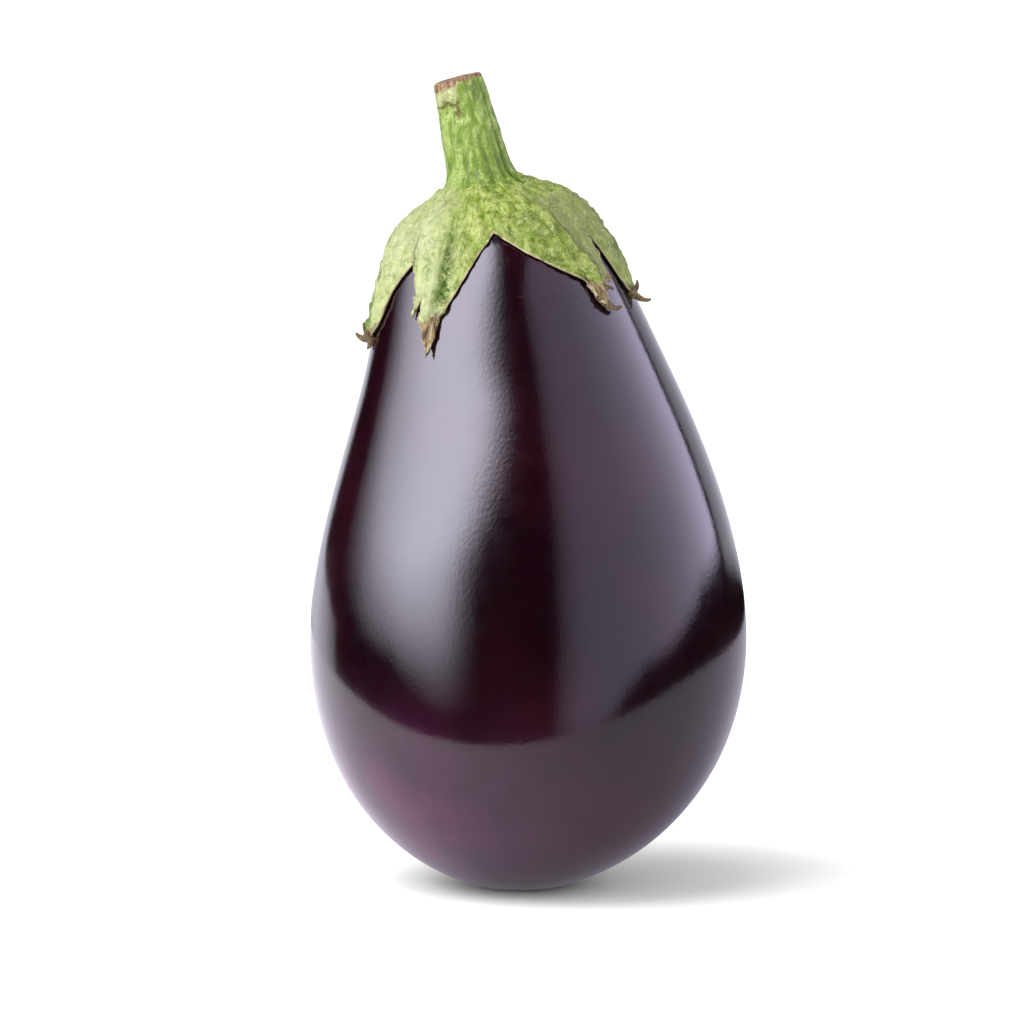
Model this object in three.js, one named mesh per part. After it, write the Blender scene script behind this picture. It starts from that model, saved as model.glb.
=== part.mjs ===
// An eggplant that stands on the flat spot at its blossom end: the fruit, the calyx that caps it
// and the cut stem. Millimetres, +Z up, -Y to the front, origin at the centre of the flat spot.
import * as THREE from "three";
import { ParametricGeometry } from "three/addons/geometries/ParametricGeometry.js";

// Fruit: its outline climbs from the flat spot over the belly and the shoulder to the crown.
const REST_RADIUS = 10;
const BELLY_RADIUS = 50; // the widest ring
const BELLY_RISE = 57; // from the flat spot up to the widest ring
const SHOULDER_RADIUS = 33.6;
const SHOULDER_RISE = 64; // from the widest ring up to the shoulder
const SHOULDER_LEAN = 0.33; // radians that the outline leans inwards at the shoulder
const CROWN_RISE = 38; // from the shoulder up to the crown
const SWAY = 1.9; // how far the widest ring's centre stands to the right of the flat spot's
const BOW_RADIUS = 500; // above the widest ring the axis bends to the left on this radius

// How full the outline is: lengths of its handles as shares of the rise or radius beside them.
const FOOT_FULLNESS = 0.32;
const FOOT_ANGLE = 0.24; // radians between the surface and the outline where it leaves the spot
const LOWER_BELLY_FULLNESS = 0.61;
const UPPER_BELLY_FULLNESS = 0.37;
const LOWER_SHOULDER_FULLNESS = 0.19;
const UPPER_SHOULDER_FULLNESS = 0.93;
const CROWN_FULLNESS = 0.65;

// Calyx: a leathery cap of six sepals that lies on the crown.
const CLEARANCE = 0.3; // gap between pieces that touch
const LEAF_THICKNESS = 1.2;
const EDGE_THICKNESS = 0.5;
const EDGE_TAPER = 3; // the higher, the nearer to the edge the leaf starts to thin
const COLLAR_RISE = 1.4; // extra thickness where the calyx swells into the stem's root
const COLLAR_SPREAD = 2.8; // distance over which that swelling dies away
const CURL_LENGTH = 14; // the last stretch of a sepal, which lifts off the fruit

// Each sepal's tip and the notch after it: azimuth in degrees from the front, counterclockwise
// seen from above, reach in mm along the fruit from the crown, and the tip's lift in mm. before
// and after shape the two sides: 1 is straight, less is bulging and more is hollow.
const SEPALS = [
  { tip: -88, reach: 47.5, lift: 3.0, before: 1.3, after: 0.85, notch: -47.5, notchReach: 29 },
  { tip: -30.5, reach: 51.5, lift: 2.0, before: 1.3, after: 2.0, notch: 3, notchReach: 25 },
  { tip: 47.5, reach: 47, lift: 3.0, before: 1.6, after: 1.0, notch: 62, notchReach: 32 },
  { tip: 80, reach: 47, lift: 4.0, before: 0.7, after: 1.3, notch: 118, notchReach: 28 },
  { tip: 152, reach: 48, lift: 2.0, before: 1.5, after: 1.4, notch: 182, notchReach: 26 },
  { tip: 212, reach: 46, lift: 2.5, before: 1.4, after: 1.3, notch: 234, notchReach: 29 },
];

// Stem: a ridged stub, cut square to its own axis.
const STEM_ROOT_RADIUS = 9.1;
const STEM_WAIST_RADIUS = 6.9;
const STEM_TIP_RADIUS = 5.5;
const STEM_WAIST_RISE = 6; // from the root up to the waist
const STEM_TIP_RISE = 18; // from the waist up to the cut
const RIDGE_COUNT = 5;
const RIDGE_HEIGHT = 0.3;

// Resolution.
const FRUIT_SIDES = 60;
const FRUIT_ROWS = 36;
const HALF_SEPAL_COLUMNS = 7;
const CAP_SHARE = 0.7; // level rows run this far from the stem's seat to the shallowest notch
const CROWN_ROWS = 9; // level rows of the calyx's underside
const COLLAR_ROWS = 4; // level rows of its top
const SEPAL_ROWS = 6; // rows of either from there to the edge
const STEM_SIDES = 30;
const STEM_ROWS = 8;

const CROWN_HEIGHT = BELLY_RISE + SHOULDER_RISE + CROWN_RISE;
const SEAT_HEIGHT = CROWN_HEIGHT + CLEARANCE + LEAF_THICKNESS + COLLAR_RISE;
const SHALLOWEST_NOTCH = Math.min(...SEPALS.map((sepal) => sepal.notchReach));
const CAP_REACH = THREE.MathUtils.lerp(STEM_ROOT_RADIUS, SHALLOWEST_NOTCH, CAP_SHARE);

// The fruit's outline as (radius, height), from the edge of the flat spot to the crown.
function fruitOutline() {
  const foot = new THREE.Vector2(REST_RADIUS, 0);
  const belly = new THREE.Vector2(BELLY_RADIUS, BELLY_RISE);
  const shoulder = new THREE.Vector2(SHOULDER_RADIUS, BELLY_RISE + SHOULDER_RISE);
  const crown = new THREE.Vector2(0, CROWN_HEIGHT);
  const up = new THREE.Vector2(0, 1);
  const out = new THREE.Vector2(1, 0);
  const leaving = new THREE.Vector2(Math.cos(FOOT_ANGLE), Math.sin(FOOT_ANGLE));
  const leaning = new THREE.Vector2(-Math.sin(SHOULDER_LEAN), Math.cos(SHOULDER_LEAN));
  const handle = (point, direction, length) => point.clone().addScaledVector(direction, length);

  const outline = new THREE.CurvePath();
  outline.add(new THREE.CubicBezierCurve(
    foot,
    handle(foot, leaving, FOOT_FULLNESS * BELLY_RISE),
    handle(belly, up, -LOWER_BELLY_FULLNESS * BELLY_RISE),
    belly,
  ));
  outline.add(new THREE.CubicBezierCurve(
    belly,
    handle(belly, up, UPPER_BELLY_FULLNESS * SHOULDER_RISE),
    handle(shoulder, leaning, -LOWER_SHOULDER_FULLNESS * SHOULDER_RISE),
    shoulder,
  ));
  outline.add(new THREE.CubicBezierCurve(
    shoulder,
    handle(shoulder, leaning, UPPER_SHOULDER_FULLNESS * CROWN_RISE),
    handle(crown, out, CROWN_FULLNESS * SHOULDER_RADIUS),
    crown,
  ));
  return outline;
}

const OUTLINE = fruitOutline();
const OUTLINE_LENGTH = OUTLINE.getLength();

// A point above the fruit's skin as (radius, height): reach is measured along the outline from
// the crown, and height is square to the skin.
function abovePoint(reach, height) {
  const along = 1 - reach / OUTLINE_LENGTH;
  const tangent = OUTLINE.getTangentAt(along);
  const normal = new THREE.Vector2(tangent.y, -tangent.x);
  return OUTLINE.getPointAt(along).addScaledVector(normal, height);
}

// Everything is shaped around a straight vertical axis, and this sets it on the real one, which
// drifts to the right as far as the widest ring and bends to the left on an arc above it. The
// rings stay level up to there, so that the foot is flat, and stand square to the axis above.
function sway(geometry) {
  const positions = geometry.getAttribute("position");
  for (let i = 0; i < positions.count; i += 1) {
    const x = positions.getX(i);
    const z = positions.getZ(i);
    const level = Math.min(z, BELLY_RISE);
    const climb = level / BELLY_RISE;
    const turn = (z - level) / BOW_RADIUS;
    const centre = SWAY * (2 * climb - climb * climb) - BOW_RADIUS * (1 - Math.cos(turn));
    positions.setX(i, centre + x * Math.cos(turn));
    positions.setZ(i, level + BOW_RADIUS * Math.sin(turn) + x * Math.sin(turn));
  }
  return geometry;
}

// A profile of (radius, height) turned about +Z, with the turn starting at the front.
function turned(profile, sides) {
  return new THREE.LatheGeometry(profile, sides).rotateX(Math.PI / 2);
}

function makeFruit() {
  const profile = OUTLINE.getSpacedPoints(FRUIT_ROWS);
  profile[profile.length - 1].x = 0;
  profile.unshift(new THREE.Vector2(0, 0));
  return sway(turned(profile, FRUIT_SIDES));
}

// Column u (0 to 1) of the calyx: its azimuth, how far its edge reaches, its sepal and the reach
// at which that sepal starts to lift. Each half of a sepal, up to its tip and away from it, has
// the same number of columns.
function calyxColumn(u) {
  const half = Math.min(Math.floor(u * 2 * SEPALS.length), 2 * SEPALS.length - 1);
  const across = u * 2 * SEPALS.length - half;
  const index = Math.floor(half / 2);
  const sepal = SEPALS[index];
  const before = SEPALS[(index + SEPALS.length - 1) % SEPALS.length];
  const rising = half % 2 === 0;
  const notch = rising ? before.notch - (index === 0 ? 360 : 0) : sepal.notch;
  const notchReach = rising ? before.notchReach : sepal.notchReach;
  const nearness = rising ? across : 1 - across; // 0 at the notch, 1 at the tip
  const shape = rising ? sepal.before : sepal.after;
  const curlStart = Math.max(sepal.reach - CURL_LENGTH, before.notchReach, sepal.notchReach);
  return {
    azimuth: THREE.MathUtils.degToRad(THREE.MathUtils.lerp(notch, sepal.tip, nearness)),
    edge: THREE.MathUtils.lerp(notchReach, sepal.reach, Math.pow(nearness, shape)),
    sepal,
    curlStart,
  };
}

// How far the calyx's underside stands off the fruit's skin.
function calyxLift({ sepal, curlStart }, reach) {
  const curl = Math.max(0, (reach - curlStart) / (sepal.reach - curlStart));
  return CLEARANCE + sepal.lift * curl * curl;
}

function calyxThickness(reach, edge) {
  const thinning = Math.pow(reach / edge, EDGE_TAPER);
  const leaf = THREE.MathUtils.lerp(LEAF_THICKNESS, EDGE_THICKNESS, thinning);
  return leaf + COLLAR_RISE * Math.exp((STEM_ROOT_RADIUS - reach) / COLLAR_SPREAD);
}

// The reach of each row of a column, from a start near the crown to the column's edge.
function rowReaches(start, levelRows, edge) {
  const { lerp } = THREE.MathUtils;
  const level = Array.from({ length: levelRows }, (_, i) => lerp(start, CAP_REACH, i / levelRows));
  const fan = Array.from({ length: SEPAL_ROWS }, (_, i) => lerp(CAP_REACH, edge, i / SEPAL_ROWS));
  return [...level, ...fan, edge];
}

// One column of the calyx as (radius, height): out along the underside from the crown to the
// edge, back over the top to the rim of the stem's flat seat, and in to the seat's centre.
function calyxProfile(column) {
  const { edge } = column;
  const underside = rowReaches(0, CROWN_ROWS, edge).map(
    (reach) => abovePoint(reach, calyxLift(column, reach)),
  );
  underside[0].x = 0;
  const top = rowReaches(STEM_ROOT_RADIUS, COLLAR_ROWS, edge).slice(1).reverse().map(
    (reach) => abovePoint(reach, calyxLift(column, reach) + calyxThickness(reach, edge)),
  );
  const rim = new THREE.Vector2(STEM_ROOT_RADIUS, SEAT_HEIGHT);
  return [...underside, ...top, rim, new THREE.Vector2(0, SEAT_HEIGHT)];
}

function makeCalyx() {
  const count = 2 * SEPALS.length * HALF_SEPAL_COLUMNS;
  const columns = Array.from({ length: count + 1 }, (_, i) => calyxColumn(i / count));
  const profiles = columns.map(calyxProfile);
  const rows = profiles[0].length - 1;
  const skin = new ParametricGeometry(
    (u, v, point) => {
      const { azimuth } = columns[Math.round(u * count)];
      const { x: radius, y: height } = profiles[Math.round(u * count)][Math.round(v * rows)];
      point.set(radius * Math.sin(azimuth), -radius * Math.cos(azimuth), height);
    },
    count,
    rows,
  );
  return sway(skin);
}

function makeStem() {
  const root = SEAT_HEIGHT + CLEARANCE;
  const side = new THREE.CatmullRomCurve3([
    new THREE.Vector3(STEM_ROOT_RADIUS, root, 0),
    new THREE.Vector3(STEM_WAIST_RADIUS, root + STEM_WAIST_RISE, 0),
    new THREE.Vector3(STEM_TIP_RADIUS, root + STEM_WAIST_RISE + STEM_TIP_RISE, 0),
  ]);
  const profile = side.getPoints(STEM_ROWS).map((p) => new THREE.Vector2(p.x, p.y));
  profile.unshift(new THREE.Vector2(0, profile[0].y));
  profile.push(new THREE.Vector2(0, profile.at(-1).y));

  const stub = turned(profile, STEM_SIDES);
  const positions = stub.getAttribute("position");
  for (let i = 0; i < positions.count; i += 1) {
    const x = positions.getX(i);
    const y = positions.getY(i);
    const ridge = (RIDGE_HEIGHT / STEM_TIP_RADIUS) * Math.cos(RIDGE_COUNT * Math.atan2(x, -y));
    positions.setX(i, x * (1 + ridge));
    positions.setY(i, y * (1 + ridge));
  }
  return sway(stub);
}

function piece(name, geometry, finish) {
  const mesh = new THREE.Mesh(geometry, new THREE.MeshStandardMaterial(finish));
  mesh.name = name;
  return mesh;
}

const eggplant = new THREE.Group();
eggplant.add(
  piece("fruit", makeFruit(), { color: 0x2a0a1e, roughness: 0.2, metalness: 0 }),
  piece("calyx", makeCalyx(), { color: 0x9fbf5a, roughness: 0.6, metalness: 0 }),
  piece("stem", makeStem(), { color: 0x9cb862, roughness: 0.65, metalness: 0 }),
);

export default eggplant;
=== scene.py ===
import math
from functools import partial

import bmesh
import bpy
import numpy as np
from bpy.props import FloatProperty, FloatVectorProperty, PointerProperty
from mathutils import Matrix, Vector


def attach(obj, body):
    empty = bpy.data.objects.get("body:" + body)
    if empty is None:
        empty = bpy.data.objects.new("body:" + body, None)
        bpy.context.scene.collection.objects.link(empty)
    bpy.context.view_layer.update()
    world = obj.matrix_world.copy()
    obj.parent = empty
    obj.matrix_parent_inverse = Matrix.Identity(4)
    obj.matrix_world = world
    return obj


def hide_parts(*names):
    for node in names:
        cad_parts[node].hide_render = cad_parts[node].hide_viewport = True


bl_info = {
    "name": "Eggplant",
    "version": (1, 0, 0),
    "blender": (4, 5, 0),
    "location": "3D View > Sidebar > Eggplant",
    "description": "An eggplant with its calyx and cut stem, on a white studio floor",
    "category": "Add Mesh",
}

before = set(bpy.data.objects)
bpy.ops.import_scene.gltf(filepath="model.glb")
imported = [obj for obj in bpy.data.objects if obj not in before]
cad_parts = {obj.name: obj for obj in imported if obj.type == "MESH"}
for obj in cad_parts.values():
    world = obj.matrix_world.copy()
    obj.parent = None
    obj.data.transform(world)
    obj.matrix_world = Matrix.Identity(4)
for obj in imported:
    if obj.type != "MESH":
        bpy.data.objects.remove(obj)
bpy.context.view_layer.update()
MM = 0.001


# -------------------- sizes and colours


def linear(code):
    """The linear colour, with alpha, of an sRGB hex code such as "#8fb84a"."""
    parts = [int(code[i : i + 2], 16) / 255 for i in (1, 3, 5)]
    return [*(p / 12.92 if p <= 0.04045 else ((p + 0.055) / 1.055) ** 2.4 for p in parts), 1.0]


def length(name, description, millimetres):
    return FloatProperty(
        name=name, description=description, default=millimetres * MM, subtype="DISTANCE", unit="LENGTH"
    )


def share(name, description, value):
    return FloatProperty(name=name, description=description, default=value, subtype="FACTOR")


def colour(name, description, code):
    return FloatVectorProperty(
        name=name, description=description, default=linear(code), size=4, subtype="COLOR", min=0, max=1
    )


class FruitSettings(bpy.types.PropertyGroup):
    """The fruit's outline, the way its axis bows, and the colours of its skin"""

    rest_radius: length("Rest radius", "Radius of the flat spot that it stands on", 10)
    belly_radius: length("Belly radius", "Radius of the widest ring", 50)
    belly_rise: length("Belly rise", "From the flat spot up to the widest ring", 57)
    shoulder_radius: length("Shoulder radius", "Radius at the shoulder", 33.6)
    shoulder_rise: length("Shoulder rise", "From the widest ring up to the shoulder", 64)
    shoulder_lean: FloatProperty(
        name="Shoulder lean", description="How far the outline leans inwards at the shoulder",
        default=0.33, subtype="ANGLE", unit="ROTATION",
    )
    crown_rise: length("Crown rise", "From the shoulder up to the crown", 38)
    sway: length("Sway", "How far the widest ring's centre stands to the right", 1.9)
    bow_radius: length("Bow radius", "Above the widest ring the axis bends left on this radius", 500)
    foot_angle: FloatProperty(
        name="Foot angle", description="Angle at which the outline leaves the flat spot",
        default=0.24, subtype="ANGLE", unit="ROTATION",
    )
    ripple: length("Ripple", "Height of the broad, faint waves in the skin", 0.1)
    night: colour("Night", "Darkest colour of the skin", "#16020b")
    wine: colour("Wine", "Warmer colour of the skin", "#2b0716")
    # Painted light: the magenta blotches are laid only on the lower left, where the key light falls.
    lit_blush: colour("Blush", "Magenta patches low on the side", "#5a1d48")
    speck: colour("Speck", "Pale specks below the calyx", "#8a6877")
    scar: colour("Scar", "Dry spot where the flower was", "#8a7050")


class CalyxSettings(bpy.types.PropertyGroup):
    """Thickness, height and colours of the calyx"""

    clearance: length("Clearance", "Gap between the calyx and the skin", 0.3)
    thickness: length("Thickness", "Thickness of a sepal", 1.25)
    rim_thickness: length("Rim thickness", "Thickness at its edge", 0.45)
    collar_rise: length("Collar rise", "Extra thickness where it swells into the stem", 1.9)
    bump_height: length("Bump height", "Strength of the clouds that pucker its top", 2.0)
    pale: colour("Pale", "Paler green of the blade", "#b3bf68")
    # Painted light: this paler green is painted on the left side, where the key light and the bright
    # panel's sheen fall.
    painted_sheen: colour("Frost", "Paler green on the left, where the hairs are dense", "#c9d0a0")
    fresh: colour("Fresh", "Main green of the blade", "#889f30")
    # Painted shade: the deep green is painted into the pucker valleys, the band beside each rib and faces
    # turned away from the key light.
    deep: colour("Deep", "Green of its hollows", "#547010")
    hair: colour("Hair", "Fine whitish hairs", "#d6df96")
    straw: colour("Straw", "Dry tips and edges", "#b09a6c")
    # Painted shade: this grey-green is painted on faces turned right, away from the key light.
    grey: colour("Grey", "Dull green of the faces turned right", "#8f9960")
    rim: colour("Rim", "Thin dry line along the edge", "#cdbf98")
    bark: colour("Bark", "Darkest of the dry tips", "#5f4830")
    # Painted shade: the side of the calyx that lies on the skin is painted dark, as it sits in shade.
    underside_shade: colour("Underside", "Green of the side that lies on the skin", "#3c4420")


class StemSettings(bpy.types.PropertyGroup):
    """Size and colours of the cut stem"""

    root_height: length("Root height", "Height at which it leaves the calyx", 160.0)
    tip_height: length("Tip height", "Height of the cut, along the bowed axis", 186.2)
    tip_radius: length("Tip radius", "Radius at the cut", 5.45)
    shift: length("Shift", "How far it stands to the right of the bowed axis", 0.4)
    swell: length("Swell", "Added to its radius to make up for the grooves", 0.25)
    groove_depth: length("Groove depth", "Depth of the grooves down its side", 0.55)
    pale: colour("Pale", "Paler green of the ridges", "#aabf66")
    fresh: colour("Fresh", "Main green", "#7c9a2c")
    # Painted shade: the deep green is painted into the grooves and into the valleys of the patches.
    deep: colour("Deep", "Green of the grooves", "#4c6812")
    hair: colour("Hair", "Whitish hairs", "#ccd692")
    bleached: colour("Bleached", "Bleached patch below the cut", "#cbc29a")
    cut: colour("Cut", "Dry rim of the cut", "#ab8c68")
    bark: colour("Bark", "Darkest of the dry rim", "#6a482e")


class StudioSettings(bpy.types.PropertyGroup):
    """Camera and light of the studio"""

    lens: FloatProperty(
        name="Lens", description="Focal length on a 36 mm sensor", default=233.2, unit="CAMERA"
    )
    distance: length("Distance", "From the camera to the eggplant", 1500)
    camera_height: length("Camera height", "Height of the camera above the floor", 274.7)
    ambient: share("Ambient", "Brightness of the white room for matt surfaces", 0.53)
    key: FloatProperty(
        name="Key", description="Power of the soft light from the left", default=12, unit="POWER"
    )
    sun: FloatProperty(
        name="Sun", description="Extra light on the floor alone, which keeps it white", default=1.4
    )
    floor: colour("Floor", "White paper of the floor", "#f6f6f4")


# -------------------- shape of the fruit


def bezier(start, first, second, end):
    t = np.linspace(0, 1, 400)[:, None]
    start, first, second, end = (np.array(p, float) for p in (start, first, second, end))
    return (1 - t) ** 3 * start + 3 * (1 - t) ** 2 * t * first + 3 * (1 - t) * t * t * second + t**3 * end


class Skin:
    """The fruit's skin. Reach is measured along its outline from the crown, turn is the azimuth
    from the front, counterclockwise seen from above, and height is square to the skin."""

    def __init__(self, fruit):
        self.fruit = fruit
        belly = np.array((fruit.belly_radius, fruit.belly_rise))
        shoulder = np.array((fruit.shoulder_radius, fruit.belly_rise + fruit.shoulder_rise))
        crown = np.array((0, shoulder[1] + fruit.crown_rise))
        foot = np.array((fruit.rest_radius, 0))
        leaving = np.array((math.cos(fruit.foot_angle), math.sin(fruit.foot_angle)))
        leaning = np.array((-math.sin(fruit.shoulder_lean), math.cos(fruit.shoulder_lean)))
        up, out = np.array((0, 1)), np.array((1, 0))
        points = np.vstack([
            bezier(foot, foot + 0.32 * fruit.belly_rise * leaving,
                   belly - 0.61 * fruit.belly_rise * up, belly),
            bezier(belly, belly + 0.37 * fruit.shoulder_rise * up,
                   shoulder - 0.19 * fruit.shoulder_rise * leaning, shoulder)[1:],
            bezier(shoulder, shoulder + 0.93 * fruit.crown_rise * leaning,
                   crown + 0.65 * fruit.shoulder_radius * out, crown)[1:],
        ])[::-1]
        steps = np.hypot(*np.diff(points, axis=0).T)
        self.reach = np.concatenate([[0], np.cumsum(steps)])
        self.radius, self.height = points.T
        slope = np.gradient(points, self.reach, axis=0)
        self.out, self.up = -slope[:, 1], slope[:, 0]
        self.length = self.reach[-1]

    def section(self, reach, height=0.0):
        """Radius and height, about a straight axis, of a point above the skin."""
        pick = lambda values: np.interp(reach, self.reach, values)
        return pick(self.radius) + height * pick(self.out), pick(self.height) + height * pick(self.up)

    def sway(self, x, y, z):
        """Sets a point that was shaped about a straight axis on the fruit's real one."""
        fruit = self.fruit
        level = np.minimum(z, fruit.belly_rise)
        climb = level / fruit.belly_rise
        turn = (z - level) / fruit.bow_radius
        centre = fruit.sway * (2 * climb - climb * climb) - fruit.bow_radius * (1 - np.cos(turn))
        return np.stack([
            centre + x * np.cos(turn), y + 0 * x, level + fruit.bow_radius * np.sin(turn) + x * np.sin(turn)
        ], axis=-1)

    def point(self, reach, turn, height=0.0):
        radius, z = self.section(reach, height)
        return self.sway(radius * np.sin(turn), -radius * np.cos(turn), z)

    def ring(self, radius, z):
        """Centre, radius and lean of a ring that is square to the fruit's axis."""
        lean = max(0.0, z - self.fruit.belly_rise) / self.fruit.bow_radius
        return Vector(self.sway(np.float64(0), np.float64(0), np.float64(z))), radius, lean


# -------------------- modelling helpers


def extrude_rings(name, sides, rings):
    """Adds a circle as the first ring, extrudes it through the others and closes both ends."""
    centre, radius, lean = rings[0]
    bpy.ops.object.select_all(action="DESELECT")
    bpy.ops.mesh.primitive_circle_add(
        vertices=sides, radius=radius, location=centre, rotation=(0, -lean, 0)
    )
    piece = bpy.context.object
    piece.name = piece.data.name = name
    bpy.ops.object.transform_apply(location=True, rotation=True, scale=True)
    bpy.ops.object.mode_set(mode="EDIT")
    bpy.ops.mesh.select_mode(type="VERT")
    bpy.ops.mesh.select_all(action="SELECT")
    for next_centre, next_radius, next_lean in rings[1:]:
        bpy.ops.mesh.extrude_region_move(TRANSFORM_OT_translate={"value": next_centre - centre})
        bpy.ops.transform.resize(value=[next_radius / radius] * 3, center_override=next_centre)
        if abs(next_lean - lean) > 1e-7:
            bpy.ops.transform.rotate(
                value=next_lean - lean, orient_axis="Y", orient_type="GLOBAL", center_override=next_centre
            )
        centre, radius, lean = next_centre, next_radius, next_lean
    bpy.ops.mesh.edge_face_add()
    bpy.ops.mesh.poke()
    bpy.ops.mesh.select_all(action="DESELECT")
    grid = bmesh.from_edit_mesh(piece.data)
    grid.verts.ensure_lookup_table()
    for vert in grid.verts[:sides]:
        vert.select = True
    grid.select_flush(True)
    bmesh.update_edit_mesh(piece.data)
    bpy.ops.mesh.edge_face_add()
    bpy.ops.mesh.poke()
    bpy.ops.mesh.select_all(action="SELECT")
    bpy.ops.mesh.normals_make_consistent(inside=False)
    bpy.ops.object.mode_set(mode="OBJECT")
    return piece


def modify(piece, kind, **settings):
    """Adds a modifier to the active piece with these settings, and applies it."""
    bpy.context.view_layer.objects.active = piece
    piece.select_set(True)
    bpy.ops.object.modifier_add(type=kind)
    modifier = piece.modifiers[-1]
    for setting, value in settings.items():
        setattr(modifier, setting, value)
    bpy.ops.object.modifier_apply(modifier=modifier.name)


def weigh(piece, name, weights):
    """Gives the piece a vertex group with one weight for each of its points."""
    group = piece.vertex_groups.get(name) or piece.vertex_groups.new(name=name)
    for index, weight in enumerate(weights):
        group.add([index], float(min(1.0, max(0.0, weight))), "REPLACE")


def mark(piece, name, values):
    """Gives the piece an attribute that its material reads, with one value for each point."""
    layer = piece.data.attributes.new(name, "FLOAT", "POINT")
    layer.data.foreach_set("value", np.asarray(values, np.float32))


def cloud(name, size, kind="CLOUDS"):
    """A procedural texture for a Displace modifier, whose features are about this large."""
    texture = bpy.data.textures.new(name, kind)
    texture.noise_scale = size
    return texture


def places(piece):
    co = np.empty(len(piece.data.vertices) * 3)
    piece.data.vertices.foreach_get("co", co)
    return co.reshape(-1, 3)


def smooth(value, low, high):
    t = np.clip((value - low) / (high - low), 0, 1)
    return t * t * (3 - 2 * t)


def finish_piece(piece, material, node):
    bpy.ops.object.select_all(action="DESELECT")
    bpy.context.view_layer.objects.active = piece
    piece.select_set(True)
    bpy.ops.object.shade_smooth()
    piece.data.materials.clear()
    piece.data.materials.append(material)
    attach(piece, "root")
    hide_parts(node)


# -------------------- materials


COLOURS = {"data_type": "RGBA"}
EASED = {"interpolation_type": "SMOOTHSTEP"}
TIMES, PLUS, MINUS = ({"operation": word} for word in ("MULTIPLY", "ADD", "SUBTRACT"))


def add_node(tree, kind, inputs, out=0, **settings):
    """Adds a shader node, sets or links its inputs, and gives back one of its outputs."""
    made = tree.nodes.new("ShaderNode" + kind)
    for setting, value in settings.items():
        setattr(made, setting, value)
    for socket, value in inputs.items():
        if isinstance(value, bpy.types.NodeSocket):
            tree.links.new(value, made.inputs[socket])
        else:
            made.inputs[socket].default_value = value
    return made.outputs[out] if made.outputs else None


def new_material(name):
    """A material without nodes, and what adds a node to it."""
    material = bpy.data.materials.new(name)
    material.use_nodes = True
    material.node_tree.nodes.clear()
    return material, partial(add_node, material.node_tree)


def skin_material(fruit):
    """Waxed aubergine skin: nearly black, with a thin clear cuticle that gives sharp reflections
    over a finely pebbled surface."""
    material, add = new_material("Waxed aubergine skin")
    place = add("TexCoord", {}, "Object")
    tall = add("Mapping", {"Vector": place, "Scale": (1, 1, 0.65)})
    left = add("SeparateXYZ", {0: place})
    high = left.node.outputs[2]

    # Wine-coloured clouds over near black, and magenta blotches low on the left: partly the skin's own
    # blotches, partly painted light where the key light falls.
    broad = add("TexNoise", {"Vector": place, "Scale": 1 / 0.03, "Detail": 3})
    wine = add("MapRange", {0: broad, 1: 0.42, 2: 0.72, 4: 0.8}, **EASED)
    base = add("Mix", {0: wine, 6: fruit.night, 7: fruit.wine}, 2, **COLOURS)
    blotch = add("TexNoise", {"Vector": tall, "Scale": 1 / 0.013, "Detail": 4})
    blotch = add("MapRange", {0: blotch, 1: 0.28, 2: 0.74, 3: 0.25, 4: 1}, **EASED)
    low = add("MapRange", {0: high, 1: 0.058, 2: 0.018}, **EASED)
    # Painted light: this mask keeps the magenta to the side that faces the key light.
    key_lit_left = add("MapRange", {0: left, 1: 0.012, 2: -0.030, 3: 0.1, 4: 1}, **EASED)
    patch = add("Math", {0: add("Math", {0: low, 1: key_lit_left}, **TIMES), 1: blotch}, **TIMES)
    base = add("Mix", {0: patch, 6: base, 7: fruit.lit_blush}, 2, **COLOURS)

    # Small pale specks, which gather below the calyx.
    cells = add("TexVoronoi", {"Vector": place, "Scale": 1 / 0.0010})
    dots = add("MapRange", {0: cells, 1: 0.16, 2: 0.08})
    sparse = add("TexNoise", {"Vector": place, "Scale": 1 / 0.007})
    sparse = add("MapRange", {0: sparse, 1: 0.44, 2: 0.62}, **EASED)
    under_cap = add("MapRange", {0: high, 1: 0.127, 2: 0.141, 4: 0.5}, **EASED)
    specks = add("Math", {0: add("Math", {0: dots, 1: sparse}, **TIMES), 1: under_cap}, **TIMES)
    base = add("Mix", {0: specks, 6: base, 7: fruit.speck}, 2, **COLOURS)

    # The corky scar of the flower, in the middle of the underside.
    from_axis = add("VectorMath", {0: place, 1: (1, 1, 0)}, **TIMES)
    off_axis = add("VectorMath", {0: from_axis}, "Value", operation="LENGTH")
    ragged = add("TexNoise", {"Vector": place, "Scale": 1 / 0.002})
    ragged = add("Math", {0: off_axis, 1: add("MapRange", {0: ragged, 3: -0.001, 4: 0.001})}, **PLUS)
    scar = add("MapRange", {0: ragged, 1: 0.0055, 2: 0.0035}, **EASED)
    under = add("MapRange", {0: high, 1: 0.004, 2: 0.002}, **EASED)
    scar = add("Math", {0: scar, 1: under}, **TIMES)
    base = add("Mix", {0: scar, 6: base, 7: fruit.scar}, 2, **COLOURS)

    pebble = add("TexNoise", {"Vector": tall, "Scale": 1 / 0.0007, "Detail": 1.5})
    bump = add("Bump", {"Strength": 0.5, "Distance": 0.000035, "Height": pebble})
    waxy = add("TexNoise", {"Vector": place, "Scale": 1 / 0.004})
    waxy = add("MapRange", {0: waxy, 1: 0.3, 2: 0.7, 3: 0.14, 4: 0.18}, **EASED)
    rough = add("Math", {0: waxy, 1: add("Math", {0: scar, 1: 0.5}, **TIMES)}, **PLUS)
    shader = add("BsdfPrincipled", {
        "Base Color": base, "Roughness": rough, "Normal": bump, "IOR": 1.5,
        "Coat Weight": 0.7, "Coat Roughness": 0.08, "Coat IOR": 1.5, "Coat Normal": bump,
    })
    add("OutputMaterial", {0: shader})
    return material


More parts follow.
